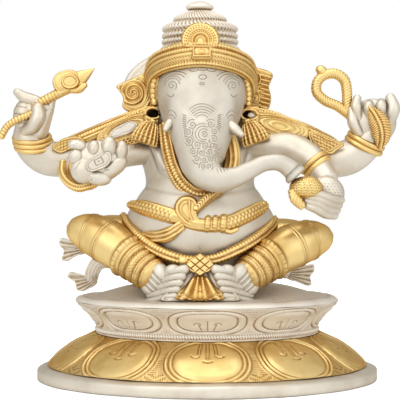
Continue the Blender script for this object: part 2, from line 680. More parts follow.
def make_seat():
    """Seat with a soft rolled lip and a top that rises towards the figure, most at the sides and back."""
    low, high = span("seat_plate")
    bottom, top, lip = low[2] + 1.9, high[2], high[0]
    flat = lip - 3.6
    rise = [(radius, top) for radius in np.linspace(0, flat - 0.6, 40)]
    edge = contour([(flat, top - 0.05), (lip - 1.5, top - 0.7), (lip - 0.3, top - 1.7), (lip, bottom + 0.4),
        (lip - 0.5, bottom)], 14).tolist()
    grid = turned(rise + edge + [(lip - 8, bottom), (0, bottom)], 200)
    radius, level = grid.radius, grid.z
    sides = 0.3 + 0.7 * step(np.abs(grid.angle), 0.45, 1.1)
    mound = 6.6 * (1 - step(radius, 40, flat - 0.5)) * sides * (level > top - 0.02)
    wave = 0.18 * np.sin(7 * grid.angle + 0.6) + 0.12 * np.sin(19 * grid.angle)
    on_top = (radius < flat - 0.5) & (level > bottom + 1.5)
    worn = np.where(on_top, 0.30, 0.02) * np.ones(level.shape)
    piece("seat_top", SATIN, ["seat_plate"], [shell(grid, mound + wave * (radius > flat - 4), worn, BASE)])


# ---------------------------------------------------------------- body

def make_torso():
    """Chest and round belly in one smooth silver mass, with the fold over the belly and the navel."""
    grid = tube([(0, -3, 1, 30, 37), (0, -4, 12, 35, 42), (0, -7, 24, 37, 44), (0, -10, 36, 38, 44.6),
        (0, -10, 46, 37, 44), (0, -7.5, 56, 31, 38), (0, -4.5, 65, 26.5, 32.6), (0, -2, 75, 23.5, 33.5),
        (0, 0, 84, 21, 36.5), (0, 2, 92, 18, 34), (0, 3, 99, 15, 25), (0, 3, 106, 12, 15)], rows=130,
        columns=150, side=(0, -1, 0), caps=(0.02, 0.4), gather=0.35)
    x, z = grid.x, grid.z
    front = step(np.cos(grid.angle), -0.1, 0.4) * np.ones_like(x)
    belly = 2.2 * ridge(z - 40, 24) * ridge(x, 34) * front
    chest = 1.4 * (ridge(np.hypot(x + 15, z - 78), 15) + ridge(np.hypot(x - 15, z - 78), 15)) * front
    navel = 0.9 * ridge(np.hypot(x / 2.6, z - 30.4), 0.9) * front
    fold = (0.8 * ridge(z - 60 - 0.004 * x**2, 2.4) + 1.3 * ridge(z - 26.2 - 0.009 * (x + 1)**2, 1.8)) * front
    side = (np.abs(x) - 30.5 + 0.33 * (92 - z)) * 0.95
    armpit = (1.3 * ridge(side + 4.5, 4.0) - 0.9 * ridge(side, 1.8)) * ridge(z - 83, 12) * front
    flank = (2.0 * ridge((x + 24 + 0.571 * (z - 82)) * 0.87, 4.4) * step(z, 69, 75) * step(95 - z, 0, 6)
        * front)
    details = engraved(grid.points, [arc(-20, 74.5, radius, 0, 360) for radius in (1.3, 0.3)], 0.4) * front
    height = belly + chest + armpit + flank - navel - fold * 0.5 - 0.35 * details
    piece("body_torso", SOFT, ["torso"], [shell(grid, height)])


def leg_paths(sign, drop):
    """Stations of a shank from the knee's tip to the ankle, and of the thigh behind it."""
    shank = [(-77.2, -20, 41.3, 1.8), (-76.2, -20.3, 41.0, 4.4), (-74.3, -20.9, 40.5, 6.8),
        (-71.4, -21.8, 39.7, 8.9), (-67.6, -22.9, 38.7, 10.7), (-63.4, -24.3, 37.3, 11.9),
        (-58, -27, 35.2, 12.7), (-51, -31, 31.2, 12.7), (-44, -35.5, 26.6, 12.0), (-37.5, -40, 22.0, 11.2),
        (-31.6, -44.5, 17.6, 10.4), (-26.4, -48.5, 14.2, 9.4)]
    thigh = [(-65, -17, 39.6, 5), (-60, -16, 38.6, 9), (-53, -14, 36.8, 11.8), (-44.5, -12, 34, 13.6),
        (-34, -8, 31, 15), (-22, -4, 28, 16)]
    return [[(-sign * x, y, z - drop * step(abs(x), 25, 78), radius) for x, y, z, radius in part]
        for part in (shank, thigh)]


def make_legs():
    """Legs in tight gold cloth: a smooth round knee with double rings, a beaded band and pleated cuffs."""
    for side, sign, drop in (("right", -1, 0), ("left", 1, 4.6)):
        shank, thigh = leg_paths(sign, drop)
        grid = tube(shank, rows=220, columns=104, caps=(0.4, 0.5))
        run, angle = grid.run, grid.angle
        around = angle * 12
        rings = 0.40 * ridges(run, (13.0, 14.8, 25.4, 27.4), 0.6)
        band = (1.1 * ridge(run - 43.4, 3.4)
            + 0.5 * beads(around, run - 43.4, 1.9, 1.8) * step(run, 40.8, 41.8))
        strokes = 0.5 * ridge(saw(around, 1.9), 0.5) * ridge(run - 43.4, 3.2)
        pleats = 0
        for at, rise in ((50.0, 1.0), (54.9, 0.9), (60.0, 1.0), (64.8, 0.8), (69.6, 0.9)):
            pleats = np.maximum(pleats, rise * ridge(run - at, 2.7)**0.7)
        gathers = (0.3 * ridge(saw(around + 1.2 * np.sin(run), 2.3), 0.6) * step(run, 52.0, 52.8)
            * (run < 57.6))
        dots = sum(0.5 * beads(around, run - at, 1.7, 0.85)
            for at in (48.9, 51.1, 59.0, 61.0, 63.9, 68.6, 70.6))
        height = rings + band - strokes + pleats + dots - gathers - 0.4 * step(run, 46.5, 47.5)
        back = tube(thigh, rows=60, columns=60, caps=(0.9, 0.2))
        folds = 0.4 * ridge(saw(back.run + 3 * np.cos(back.angle), 8.5), 1.8) * step(back.run, 14, 22)
        piece(f"{side}_leg_cloth", WORN, [side + "_leg"],
            [shell(grid, height, 0.08 * step(run, 46, 49)), shell(back, folds)])


def make_feet():
    """Bare feet that face each other: five stacked toes, the ball over them, and the folds at the ankle."""
    for side, sign in SIDES:
        parts = []
        sole = tube([(30 * sign, -43, 12.5, 6.5, 5.5), (25 * sign, -47, 10.4, 8.6, 6.4),
            (19 * sign, -50.5, 9.4, 9.2, 6.4), (14.5 * sign, -53.5, 9.2, 8.4, 5)], rows=50, columns=60)
        parts.append(shell(sole, -0.3 * ridge(saw(sole.up + 0.4 * sole.run, 3.2), 0.5)))
        for number in range(5):
            level = 18.2 - 3.7 * number
            tip = 8.4 + 1.3 * number
            thick = 2.7 - 0.12 * number
            toe = tube([((tip + 16) * sign, -50.4, level - 4.0, thick * 0.9),
                ((tip + 9) * sign, -57.2, level - 1.9, thick * 0.95),
                ((tip + 3.6) * sign, -61.4, level - 0.1, thick * 0.8),
                ((tip + 0.4) * sign, -61.8, level + 0.2, thick)], rows=30, columns=22)
            nail = 0.3 * ridge(toe.run - 12.4, 0.8)
            parts.append(shell(toe, nail))
        parts.append(shell(egg((15.2 * sign, -59.0, 18.0), (4.2, 3.2, 3.0))))
        folds = tube([(22 * sign, -53.5, 15.6, 6, 5), (25.6 * sign, -51.5, 11.4, 7, 5),
            (28 * sign, -49.5, 8.4, 6, 5)], rows=60, columns=60)
        parts.append(shell(folds, 0.5 * ridge(saw(folds.run, 2.6), 0.9)))
        piece(f"{side}_foot_bare", SOFT, [side + "_foot"], parts)


def make_front_cloth():
    """Pleated gold fan under a quilted diamond, over a silver apron that spreads on the seat."""
    apron = leaf([(-4.6, 20), (0, 21.6), (5.4, 20), (11, 15.4), (16.4, 8.6), (22.4, 1.8), (12, 0.5),
        (0, 0.2), (-12, 0.5), (-22, 1.4), (-14.6, 9), (-8.6, 16)], -60.4, 1.5, lean=(0, 0.32), columns=120,
        rows=26)
    x, z = apron.x, apron.z
    rays = np.arctan2(x - 0.5, 27 - z)
    folds = 0.8 * ridge(saw(rays, 0.34), 0.12) * step(apron.inset, 0.6, 1.6)
    hem = 0.5 * ridge(apron.inset - 0.9, 0.7)
    fan = leaf([(0, 15.4), (3.6, 14.2), (8.6, 9.2), (13, 4.6), (13.8, 2.6), (8, 1.4), (0, 0.9), (-8, 1.4),
        (-13.8, 2.6), (-13, 4.6), (-8.6, 9.2), (-3.6, 14.2)], -62.4, 2.4, lean=(0, 0.36), columns=180,
        rows=44)
    rays = np.arctan2(fan.x, 20.5 - fan.z)
    away = np.hypot(fan.x, 20.5 - fan.z)
    ribs = 1.5 * ridge(saw(rays + 0.16, 0.32), 0.15)
    cross = 0.35 * ridge(saw(away, 1.4), 0.45) * ridge(saw(rays + 0.16, 0.32), 0.12)
    hem_line = 0.8 * ridge(away - 18.8 - 0.8 * np.cos(2 * PI * rays / 0.32), 0.8)
    diamond = leaf([(0, 27.4), (0.6, 27), (7.8, 21.4), (8.0, 20.8), (0.7, 15), (0, 14.6), (-0.7, 15),
        (-8, 20.8), (-7.8, 21.4), (-0.6, 27)], -59.4, 2.6, lean=(0, 0.28), columns=130, rows=34)
    along = diamond.x * 0.8 + (diamond.z - 21)
    against = diamond.x * 0.8 - (diamond.z - 21)
    quilt = np.minimum(np.abs(saw(along - 2.1, 4.2)), np.abs(saw(against - 2.1, 4.2)))
    border = 0.6 * ridge(diamond.inset - 0.9, 0.7)
    piece("silver_apron", SILVER, ["apron"], [shell(apron, hem - folds)])
    parts = [shell(fan, ribs + cross + hem_line - 0.6, 0.02),
        shell(diamond, border - 0.8 * ridge(quilt, 0.55), 0.02)]
    piece("pleated_fan", GOLD, ["fan_pleat"], parts)


def make_belts():
    """Garland, snake belt with its hood and ring beads, and the beaded girdle under the belly."""
    garland = tube([(-20.5, -19, 101, 3.4, 2.2), (-18.6, -24.5, 88, 4.6, 2.4), (-15, -30, 75, 5, 2.6),
        (-8.5, -36.5, 64.6, 5, 2.6), (-0.5, -40.5, 60.0, 4.8, 2.6), (6.5, -42, 61, 4.2, 2.4),
        (11.6, -41, 62.8, 3, 2)], rows=240, columns=36, side=(0.75, -0.2, 0.6))
    off, run = garland.off, garland.run
    chain = 0.9 * beads(run, off, 2.2, 1.2) + 0.4 * ridges(off, (-3.2, 3.2), 0.9)
    chain = chain + 0.6 * beads(run, off - 3.2, 1.6, 0.85) + 0.6 * beads(run, off + 3.2, 1.6, 0.85)
    left = tube([(15.5, -29, 95, 4.8, 2.6), (18, -31, 86, 5.4, 3), (18.2, -32.5, 78, 5.4, 3),
        (15, -36, 69, 4.4, 2.6), (9, -38, 62, 3.6, 2.6)], rows=190, columns=36, side=(1, -0.2, 0.1))
    off, run = left.off, left.run
    strings = 0.8 * ridges(off, (-2.9, 0, 2.9), 1.1) * (0.65 + 0.5 * beads(run, 0, 1.4, 0.72))
    tail = tube([(11.0, -42.5, 62.4, 3.0, 2), (6.4, -45.5, 59.4, 3.6, 2), (2.2, -48, 56.0, 3.6, 2),
        (-2, -50, 51.6, 3, 1.8)], rows=100, columns=32, side=(0.6, 0, 0.8))
    links = 0.6 * ridge(np.abs(tail.off) - 2.2, 0.8) - 0.6 * ridge(saw(tail.run + np.abs(tail.off), 1.7), 0.5)
    piece("beaded_garland", GOLD, ["garland"],
        [shell(garland, chain - 0.3, 0.03), shell(left, strings - 0.3, 0.03), shell(tail, links)])
    belt = tube([(-40.5, -25, 54.2, 2.2, 2), (-34, -33, 53, 4, 2.6), (-23, -42.5, 50, 4.6, 2.8),
        (-12, -47, 46.5, 4.2, 2.8), (-3, -49, 43.2, 4, 2.8), (6, -49.5, 42.5, 4, 2.8),
        (16, -47, 44, 4.2, 2.8), (27, -40, 48.5, 4.4, 2.6), (37.5, -29.5, 53.5, 3.4, 2.2)], rows=330,
        columns=38, side=(0, -0.1, 1))
    off, run, x = belt.off, belt.run, belt.x
    florets = 0.5 * beads(run, off, 2.6, 1.3) + 0.4 * beads(run + 1.3, np.abs(off) - 2.2, 2.6, 1.0)
    rim = 0.4 * ridge(np.abs(off) - 3.8, 0.6)
    smooth_zone = step(x, -17, -14) * (1 - step(x, 14, 16))
    hood = leaf([(-14.6, 50.6), (-14.2, 55.4), (-11.2, 58.8), (-7, 59.8), (-2.8, 58.4), (-0.8, 54.8),
        (-1.2, 50.6), (-0.6, 46.8), (1.6, 43.2), (-3, 41.2), (-8, 42.6), (-12, 46)], -46.8, 4.6,
        lean=(0, 0.10), columns=180, rows=44)
    over = hood.x + 7.4 - 0.30 * (50.4 - hood.z) * (hood.z < 50.4)
    coil = 0.8 * ridge(hood.inset - 1.4, 1.2) + 0.7 * ridge(over - 1.4, 1.0) * step(hood.inset, 2.4, 3.2)
    coil = coil + 0.6 * ridge(hood.inset - 3.9, 0.9) * (over < 0.4)
    parts = [shell(belt, (florets + rim) * (1 - smooth_zone)
        + 0.3 * smooth_zone * ridge(np.abs(off) - 1.8, 0.8), 0.03), shell(hood, coil - 0.5, 0.02)]
    for x_at, wire in ((4.2, 1.8), (8.4, 1.7), (13.2, 2.2)):
        ring = hoop((x_at, -48.8 + 0.008 * x_at**2, 43.2 + 0.03 * x_at), (1, 0, -0.12), 3.3, wire)
        parts.append(shell(ring, 0.25 * ridge(saw(ring.turn * 4.4, 1.7), 0.4)))
    crescent = tube([(-33, -37, 37.5, 1.4, 1.2), (-26, -43, 36, 3.6, 2), (-18, -47.5, 37.5, 4.4, 2.2),
        (-10.5, -49.5, 42.5, 2.4, 1.8)], rows=110, columns=36, side=(0.2, 0, 1))
    ribs = 0.7 * ridges(crescent.off, (-2.4, 0, 2.4), 0.9)
    squiggle = tube([(13, -49, 40.6, 1.3), (17, -48, 39, 1.4), (21, -46.5, 40.4, 1.2)], rows=24, columns=16)
    parts += [shell(crescent, ribs - 0.2), shell(squiggle)]
    piece("coiled_snake_belt", GOLD, ["snake_belt"], parts)
    girdle = tube([(-45.5, -12, 47.5, 2.6, 2), (-41.8, -25, 42, 3.4, 2.6), (-34.5, -38, 34.8, 3.6, 2.8),
        (-21, -48, 26.6, 3.6, 2.8), (-8, -51, 22.6, 3.4, 2.8), (7, -51, 23.0, 3.3, 2.6),
        (21, -47.5, 28.6, 3.4, 2.8), (34.5, -37.5, 36.4, 3.4, 2.6), (41.8, -24, 42.4, 3.0, 2.4),
        (44.5, -10, 45.6, 2.2, 1.8)], rows=420, columns=34, side=(0, -0.3, 1))
    off, run = girdle.off, girdle.run
    cord = (1.0 * beads(run, off + 0.4, 2.0, 1.3) + 0.5 * beads(run + 1, off - 2.5, 2.0, 1.0)
        + 0.4 * ridge(off + 2.9, 0.7))
    knot = egg((-9, -52, 22.2), (4, 3, 3), tilt=0.5)
    piece("beaded_girdle", GOLD, ["girdle"], [shell(girdle, cord - 0.2, 0.03), shell(knot)])


def make_sashes():
    """Sash ends behind the knees: a narrow band that opens into a pleated fan."""
    fans = {"right_upper_sash": ([(-34, 12, 30, 3, 1.4), (-56, 21, 29, 3.6, 1.4), (-70, 24, 26.6, 3, 1.4)],
        [(-71, 29), (-76, 30.5), (-86.4, 32.6), (-87, 30), (-84.2, 26), (-84.8, 19.6), (-83.6, 19.2),
        (-76, 22.6), (-70.5, 24.5)], (-66, 27.4), 24),
        "right_lower_sash": ([(-34, 14, 22, 3, 1.4), (-54, 23, 19.5, 4, 1.4), (-63, 25, 18, 4.6, 1.4),
        (-66.5, 26, 12.5, 4.6, 1.4), (-67.5, 26, 7, 3.6, 1.4)],
        [(-64.5, 11), (-70, 10.6), (-81.6, 11.4), (-82, 10), (-77.6, 6.6), (-75.6, 1.2), (-74, 0.7),
        (-68, 2.4), (-63.6, 5.6)], (-61, 9.4), 26),
        "left_sash": ([(34, 13, 22, 3, 1.4), (46, 20, 17, 3.4, 1.4), (54, 23, 11.6, 3.6, 1.4)],
        [(53.5, 14), (60, 15.4), (70.6, 16.6), (70.4, 13), (68.2, 10), (68.4, 4.6), (67, 4.2), (60, 6.4),
        (53.5, 9)], (50, 11.6), 24)}
    for label, (band, outline, hub, depth) in fans.items():
        strip = tube(band, rows=50, columns=28)
        stripes = 0.35 * ridge(saw(strip.off, 2.0), 0.6)
        fan = leaf(outline, depth, 1.3, columns=124, rows=26)
        rays = np.arctan2(fan.z - hub[1], fan.x - hub[0])
        pleats = 0.9 * ridge(saw(rays, 0.16), 0.075) + 0.4 * ridge(fan.inset - 0.8, 0.6)
        piece(f"{label}_pleats", PALE, [label], [shell(strip, stripes, 0.05), shell(fan, pleats - 0.3, 0.08)])


# ---------------------------------------------------------------- head

EYE_LEVEL = 123.0


def make_head():
    """Domed head that runs down into the trunk, whose tip swings to the figure's left, to the sweets.

    Eyes and brows, brow marks and the scrolls down the trunk are engraved.
    """
    shares = np.concatenate([np.linspace(0, 0.05, 14)[:-1], np.linspace(0.05, 0.62, 300)[:-1],
        np.linspace(0.62, 1, 80)])
    grid = swept([(0.8, -26, 141, 0.8, 9, 141, 19), (0.8, -33.6, 134.5, 0.8, 14, 134.5, 23.8),
        (0.8, -37, 126, 0.8, 15, 126, 26.2), (0.8, -38.8, 118, 0.8, 13, 115.5, 26.0),
        (0.8, -41, 110.5, 0.8, 5, 104, 23.9), (0.8, -44.8, 103.4, 0.8, -8, 95, 20.2),
        (0.7, -49, 96, 0.7, -19, 86, 16.9), (0.7, -52.6, 88.6, 0.7, -27, 79, 14.4),
        (1.2, -55.4, 81, 1.2, -33, 73, 12.0), (4.2, -57.4, 74.2, 4.2, -39, 69.2, 9.6),
        (10.4, -58.4, 69.6, 10.4, -43.6, 67.4, 7.4), (18.8, -58.2, 69.8, 18.8, -46.8, 69.4, 5.9),
        (27.6, -57, 73.8, 27.6, -48, 73.4, 5.0), (37.6, -55.8, 78.0, 37.6, -47.4, 77.8, 4.5),
        (45.4, -54.4, 78.0, 45.4, -45.4, 77.8, 4.8), (51.2, -53, 74.6, 51.2, -43, 74.4, 5.4),
        (54.8, -52.4, 70.6, 54.8, -40.4, 70.4, 6.3)], 206, 0.62, shares)
    points = grid.points
    front = step(np.cos(grid.angle), 0.05, 0.3) * np.ones(points.shape[:2])
    x, z = points[..., 0] - 0.8, points[..., 2]
    brow = (0.9 * ridge(np.hypot(np.abs(x) - 16.5, (z - 124) * 0.9), 10)
        + 0.5 * ridge(x, 9) * ridge(z - 129, 9))
    cheek = (0.9 * ridge(np.hypot(np.abs(x) - 15, z - 108), 9)
        - 0.6 * ridge(np.hypot(np.abs(x) - 9.5, z - 113), 10))
    temple = -1.2 * ridge(np.abs(x) - 22, 5) * ridge(z - 110, 10)
    curves = []
    for sign, eye_x in ((-1, -15.8), (1, 18.6)):
        curves.append(spiral(eye_x, EYE_LEVEL, 0.4, 2.8, 90, 1.4 * sign))
        for across, rise, radius, start, end in ((0, 0, 4.3, 10, 170), (0, 0.2, 5.6, 30, 160),
                (-1.4, -0.4, 7.4, 45, 150), (-1.9, -0.4, 9.0, 50, 140), (1.0, -4.4, 2.0, 200, 340)):
            curves.append(arc(eye_x + across * sign, EYE_LEVEL + rise, radius, start, end))
        curves += [arc(0.8 + 17.5 * sign, 103, 3.6, 20, 160, 1.5),
            arc(0.8 + 17.2 * sign, 102.4, 2.3, 20, 160, 1.5)]
    curves += [arc(1.6, 127.6, 2.2, 0, 360, 0.6), arc(1.2, 123.7, 1.3, 0, 360, 0.5),
        arc(-3.6, 132.6, 2.5, 190, 350, 0.6), arc(1.6, 133.2, 2.8, 200, 340, 0.6),
        arc(6.8, 132.6, 2.5, 190, 350, 0.6)]
    curves += [arc(1.2, 101.2, radius, 36 + radius, 144 - radius) for radius in (4.4, 6.0, 7.6, 9.2, 10.8)]
    curves += [arc(1.4, 94.6, 5.8, 75, 275), arc(1.8, 94.4, 4.5, 60, 285), arc(2.3, 94.2, 3.2, 50, 290),
        spiral(2.6, 94, 0.3, 2.0, 0, 1.4)]
    marks = ((-4.4, 99.8, 2.3), (-6.9, 95.4, 2.1), (-6.2, 90.6, 2.1), (6.2, 100.2, 2.1), (8.6, 96.2, 1.9),
        (8.2, 91.6, 2.1), (-1.8, 88.2, 2.1), (3.4, 87.8, 2.1), (-3.9, 84.2, 2.0), (0.9, 83.6, 1.9),
        (5.4, 84.4, 1.9), (9.2, 87.0, 1.7), (-1.6, 79.8, 1.8), (2.6, 79.4, 1.8), (6.4, 80.2, 1.8),
        (9.6, 82.6, 1.6), (1.6, 75.8, 1.5), (5.2, 76.0, 1.5))
    for number, (mark_x, mark_z, size) in enumerate(marks):
        way = 1 if number % 2 else -1
        curves += [spiral(mark_x, mark_z, 0.3, size, 70 * number, 1.4 * way),
            arc(mark_x, mark_z, size + 0.7, 70 * number + 200 * way, 70 * number + 290 * way)]
    for level in np.arange(89.5, 107, 1.25):
        edge = -8.9 - 0.10 * (107 - level) + 0.012 * (107 - level)**2
        curves.append(line((edge - 0.8, level), (edge + 1.0, level - 0.7)))
        if level > 97:
            curves.append(line((11.9, level), (10.2, level - 0.8)))
    for offset in range(4):
        curves.append(line((9.6 + 1.8 * offset, 74.6 + 0.1 * offset),
            (10.4 + 1.8 * offset, 72.4 + 0.2 * offset)))
    cut = engraved(points, curves, 0.42, 0.4) * front
    run = grid.run
    lip = 0.6 * ridge(run - (run.max() - 1.4), 1.4) - 0.3 * ridge(run - (run.max() - 4.0), 0.9)
    piece("elephant_head", HEAD, ["head"], [shell(grid, (brow + cheek + temple) * front - 0.36 * cut + lip)])
    tusks = {"right": [(-13.5, -30, 104.5, 3.2), (-16.6, -34, 102.0, 2.8), (-18.8, -36.5, 99.4, 2.4),
        (-19.8, -37.5, 97.6, 1.7)], "left": [(13.5, -30, 103.0, 3.8), (17, -34.5, 100.2, 3.5),
        (20.6, -37, 97.2, 3.0), (23.6, -38.5, 94.6, 1.9)]}
    for side, stations in tusks.items():
        stub = tube(stations, rows=60, columns=40, side=INWARD, caps=(0.3, 0.9))
        ring = 0.6 * ridge(stub.run - 4.6, 0.9) - 0.3 * ridge(stub.run - 6.2, 0.6)
        piece(f"{side}_tusk_stub", SILVER, [side + "_tusk"], [shell(stub, ring)])


def make_ears():
    """Spread ears like leaves, each with a hole at its root, long veins and a scaled lower border."""
    ears = {"left": ([(27, 112), (36.7, 111.2), (43.2, 109.9), (53.3, 105.8), (62.2, 102), (65, 98),
        (64.8, 94.6), (62, 92.4), (56.8, 91), (49.7, 90.8), (42.6, 91.4), (36, 92.6), (30.6, 94.6),
        (25.5, 100), (24, 106)], (28.8, 107.4, 3.6, 2.2), (47, 100.6), -0.22),
        "right": ([(-24, 106), (-26, 112), (-30.8, 112.6), (-38.5, 109.6), (-48.5, 104.8), (-56.8, 99.6),
        (-61.5, 93.5), (-59.8, 88.6), (-52.1, 87.8), (-45, 88.6), (-37.9, 90), (-31, 92.4), (-25.6, 98)],
        (-27.4, 108.2, 3.4, 2.3), (-45, 99), 0.36)}
    for side, (outline, hole, middle, slope) in ears.items():
        ear = leaf(outline, -13, 2.6, columns=260, rows=56, hole=hole, curl=0.002)
        x, z, inset = ear.x, ear.z, ear.inset
        sign = 1 if side == "left" else -1
        along = (x - middle[0]) * sign
        over = z - (middle[1] + slope * (x - middle[0]))
        q = np.hypot(along / 17.5, over / 6.2)
        border = 0.7 * ridge(inset - 0.9, 0.9) * step(along, -19, -14)
        loops = 0.6 * ridge(q - 0.92, 0.10) + 0.55 * ridge(q - 0.62, 0.09) + 0.5 * ridge(q - 0.32, 0.09)
        dots = 0.6 * beads(along, over - 7.4 + 0.012 * along**2, 1.7, 0.8)
        dots = dots + 0.5 * beads(np.arctan2(over / 6.2, along / 17.5) * 12, (q - 0.77) * 10, 1.2, 0.6)
        lower = step(-over, 5.6, 6.4)
        scales = (0.8 * ridge(np.hypot(saw(along + 1.2 * np.round(over / 1.6), 2.4), saw(over, 1.6) + 0.5)
            - 1.1, 0.5) * lower)
        reach = np.hypot((x - hole[0]) / hole[2], (z - hole[1]) / hole[3])
        rim = 0.8 * ridge(reach - 1.4, 0.4)
        veins = 0.6 * ridge(saw(over + 0.15 * along, 1.5), 0.5) * step(over, 1.5, 3) * step(q, 1.0, 1.1)
        chased = np.maximum.reduce([border, loops, dots, scales, veins]) * step(reach, 1.6, 2.0)
        height = (np.maximum(chased, rim) - 0.25) * step(reach, 1.0, 1.2)
        piece(f"{side}_ear_leaf", GOLD, [side + "_ear"], [shell(ear, height, 0.03)])
        shift = 0 if side == "right" else -1.9
        piece(f"{side}_ear_hollow", HOLLOW, [],
            [shell(egg((hole[0] + shift, -8.5, hole[1] - 0.2), (hole[2] + 0.9, 2.4, 3.4)), 0, 1.0)])
        if side == "left":
            piece("ear_glint", PALE, [], [shell(egg((hole[0] + 2.0, -12.6, hole[1] - 0.3), (2.6, 1.4, 1.9)))])
    panel = leaf([(-36.5, 101.6), (-40, 103.4), (-46.5, 101.4), (-53, 96), (-53.6, 94.2), (-46, 94.8),
        (-39.5, 97.6)], -15.0, 0.9, columns=90, rows=20)
    lines = 0.35 * ridge(panel.inset - 0.6, 0.4) - 0.3 * ridge(panel.inset - 1.5, 0.4)
    piece("ear_panel", SATIN, [], [shell(panel, lines)])


def make_tassels():
    """Ribbed gold tassels that spread below the ear holes."""
    for side, sign in SIDES:
        grid = tube([(27.6 * sign, -16.5, 103.4, 2.0, 1.6), (29.4 * sign, -17.6, 99.6, 5.0, 3.2),
            (31.2 * sign, -18.4, 95.4, 7.0, 3.8), (32.6 * sign, -18.5, 91.4, 7.8, 3.6)], rows=76,
            columns=96, side=ACROSS, caps=(0.6, 0.3))
        strands = 0.9 * ridge(saw(grid.angle, PI / 8), 0.19) * step(grid.run, 1, 3)
        rings = 0.35 * ridge(saw(grid.run, 2.0), 0.6)
        piece(f"{side}_tassel", GOLD, [side + "_ear_tassel"], [shell(grid, strands + rings, 0.04)])


def make_side_scrolls():
    """Curled scroll at the figure's right, ribbed feathers at its left, and beaded strips by the face."""
    parts = []
    scroll = leaf([(-31, 106.5), (-28, 116), (-28.5, 126), (-31, 134.5), (-36, 131.6), (-41.5, 129.2),
        (-46.5, 127.2), (-50, 124.6), (-48, 121.8), (-46, 118), (-46.4, 112.6), (-40, 108.6)], -3, 3.0,
        columns=200, rows=48)
    x, z, inset = scroll.x, scroll.z, scroll.inset
    away = np.hypot(x + 39.8, z - 120.8)
    angle = np.arctan2(z - 120.8, x + 39.8)
    coils = 0.9 * ridge(saw(away + 0.45 * angle, 2.8), 1.0) * step(8.6 - away, 0, 0.8)
    dots = 0.4 * beads(away * angle, saw(away, 2.2), 1.5, 0.7) * step(away, 8.8, 9.6)
    border = 0.8 * ridge(inset - 0.9, 0.9)
    parts.append(shell(scroll, np.maximum.reduce([coils, dots, border]) - 0.2, 0.05))
    strip = tube([(-25.5, -16, 131, 2.6, 2), (-27, -13, 124, 3, 2.2), (-27, -11.5, 118, 3, 2.2),
        (-26.4, -12, 114.4, 2.2, 2)], rows=80, columns=28, side=(1, -0.6, 0))
    parts.append(shell(strip, 0.7 * beads(strip.run, strip.off, 3.4, 1.9)
        + 0.5 * ridge(np.abs(strip.off) - 2.4, 0.6)))
    piece("right_scroll_curl", GOLD, ["right_side_scroll"], parts)
    feathers = leaf([(27, 108), (26.5, 118), (27.5, 128), (29, 137), (35, 136.2), (43.6, 132), (41.4, 125),
        (42.6, 118), (41, 111.4), (36, 107.6)], -1, 3.2, columns=200, rows=48)
    x, z, inset = feathers.x, feathers.z, feathers.inset
    ribs = 1.0 * ridge(saw(z + 0.25 * (x - 34), 2.7), 1.0) * step(x, 35, 36.2)
    high, low = np.hypot(x - 31.4, z - 129.4), np.hypot(x - 31.2, z - 118)
    curls = 0.8 * ridge(saw(high, 2.3), 0.8) * step(6.2 - high, 0, 0.6)
    petals = 0.7 * ridge(saw(low, 2.2), 0.8) * step(5.8 - low, 0, 0.6)
    border = 0.7 * ridge(inset - 0.9, 0.8) * (x < 36)
    parts = [shell(feathers, np.maximum.reduce([ribs, curls, petals, border]) - 0.2, 0.05)]
    strip = tube([(26.5, -16, 128, 2.4, 2), (28, -13, 121, 2.8, 2.2), (28, -11, 114, 2.4, 2)], rows=70,
        columns=28, side=(1, 0.6, 0))
    parts.append(shell(strip, 0.7 * beads(strip.run, strip.off, 3.0, 1.7)
        + 0.4 * ridge(np.abs(strip.off) - 2.2, 0.6)))
    piece("left_scroll_feathers", GOLD, ["left_side_scroll"], parts)


def make_disc():
    """Plain silver disc behind the head."""
    grid = leaf([(-36, 106), (-44.5, 114), (-47, 123), (-45, 132.6), (-39.5, 139), (-31.5, 144.6),
        (-22, 148.6), (0, 150.5), (20, 148), (31, 142), (38, 134), (41, 124), (39, 114), (30, 106)], 18.5,
        2.2, columns=140, rows=26)
    piece("back_disc", PALE, ["halo_disc"], [shell(grid, 0.5 * ridge(grid.inset - 1.6, 1.4) + 0 * grid.x)])


CROWN_TICKS = 54


